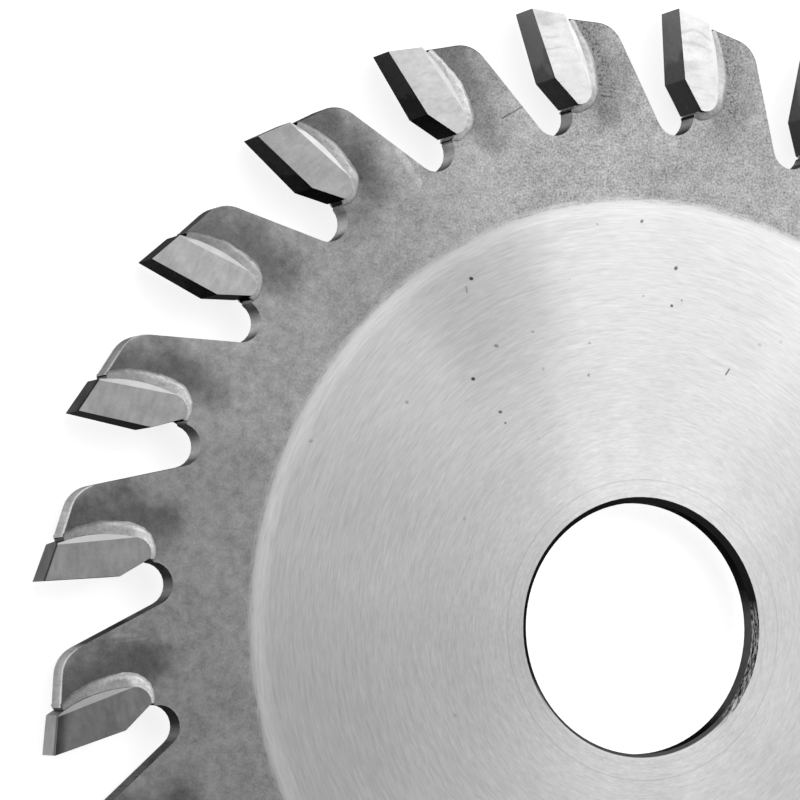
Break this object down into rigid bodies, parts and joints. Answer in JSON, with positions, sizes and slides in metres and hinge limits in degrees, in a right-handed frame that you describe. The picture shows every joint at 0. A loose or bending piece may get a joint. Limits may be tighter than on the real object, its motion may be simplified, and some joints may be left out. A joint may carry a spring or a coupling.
{
  "type": "carbide-tipped cutting disc",
  "caption": "Round steel cutting disc for a small angle grinder, with a chamfered bore and carbide tips brazed into hooked teeth, for cutting and carving wood.",
  "frame": {"origin": "on the bore's axis, at half the plate's thickness", "axes": "+Z along the bore's axis toward the side that the picture shows, with the teeth cutting counter-clockwise seen from +Z; +Y through the first tooth's cutting edge"},
  "size_m": [0.1, 0.1, 0.0038],
  "materials": {
    "blasted_steel": "blasted grey rim, ground bright centre",
    "ground_carbide": "fine ground, satin",
    "braze_alloy": "as flowed, satin"
  },
  "bodies": {
    "root": {"disc_body": "blasted_steel", "carbide_tip_01": "ground_carbide", "carbide_tip_02": "ground_carbide", "carbide_tip_03": "ground_carbide", "carbide_tip_04": "ground_carbide", "carbide_tip_05": "ground_carbide", "carbide_tip_06": "ground_carbide", "carbide_tip_07": "ground_carbide", "carbide_tip_08": "ground_carbide", "carbide_tip_09": "ground_carbide", "carbide_tip_10": "ground_carbide", "carbide_tip_11": "ground_carbide", "carbide_tip_12": "ground_carbide", "carbide_tip_13": "ground_carbide", "carbide_tip_14": "ground_carbide", "carbide_tip_15": "ground_carbide", "carbide_tip_16": "ground_carbide", "carbide_tip_17": "ground_carbide", "carbide_tip_18": "ground_carbide", "carbide_tip_19": "ground_carbide", "carbide_tip_20": "ground_carbide", "carbide_tip_21": "ground_carbide", "carbide_tip_22": "ground_carbide", "carbide_tip_23": "ground_carbide", "carbide_tip_24": "ground_carbide", "braze_joint_01": "braze_alloy", "braze_joint_02": "braze_alloy", "braze_joint_03": "braze_alloy", "braze_joint_04": "braze_alloy", "braze_joint_05": "braze_alloy", "braze_joint_06": "braze_alloy", "braze_joint_07": "braze_alloy", "braze_joint_08": "braze_alloy", "braze_joint_09": "braze_alloy", "braze_joint_10": "braze_alloy", "braze_joint_11": "braze_alloy", "braze_joint_12": "braze_alloy", "braze_joint_13": "braze_alloy", "braze_joint_14": "braze_alloy", "braze_joint_15": "braze_alloy", "braze_joint_16": "braze_alloy", "braze_joint_17": "braze_alloy", "braze_joint_18": "braze_alloy", "braze_joint_19": "braze_alloy", "braze_joint_20": "braze_alloy", "braze_joint_21": "braze_alloy", "braze_joint_22": "braze_alloy", "braze_joint_23": "braze_alloy", "braze_joint_24": "braze_alloy"}
  },
  "joints": []
}
